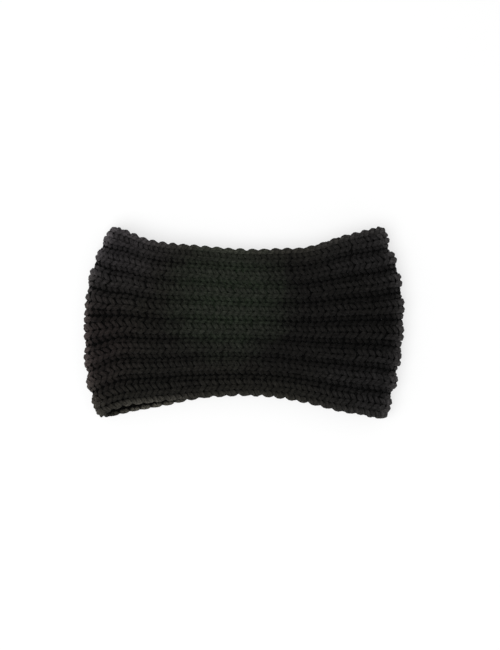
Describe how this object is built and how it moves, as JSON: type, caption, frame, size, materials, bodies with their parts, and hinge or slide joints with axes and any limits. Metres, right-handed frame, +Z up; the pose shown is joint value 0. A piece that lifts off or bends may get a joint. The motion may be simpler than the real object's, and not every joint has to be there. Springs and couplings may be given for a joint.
{
  "type": "ribbed knit headband",
  "caption": "Chunky rib-knit winter headband: a seamless-looking loop lying folded flat, drawn in at the waist, with raised ribs running round the head and scalloped folds.",
  "frame": {"origin": "on the ground under the middle of the band as it lies folded flat", "axes": "+X from fold to fold along the ribs, to the right as seen from above; +Y across the ribs, towards the edge that lies further away; +Z up off the ground"},
  "size_m": [0.2332, 0.138, 0.0261],
  "materials": {
    "black_rib_knit": "matt chunky wool-blend knit"
  },
  "bodies": {
    "root": {"knit_band": "black_rib_knit"}
  },
  "joints": []
}
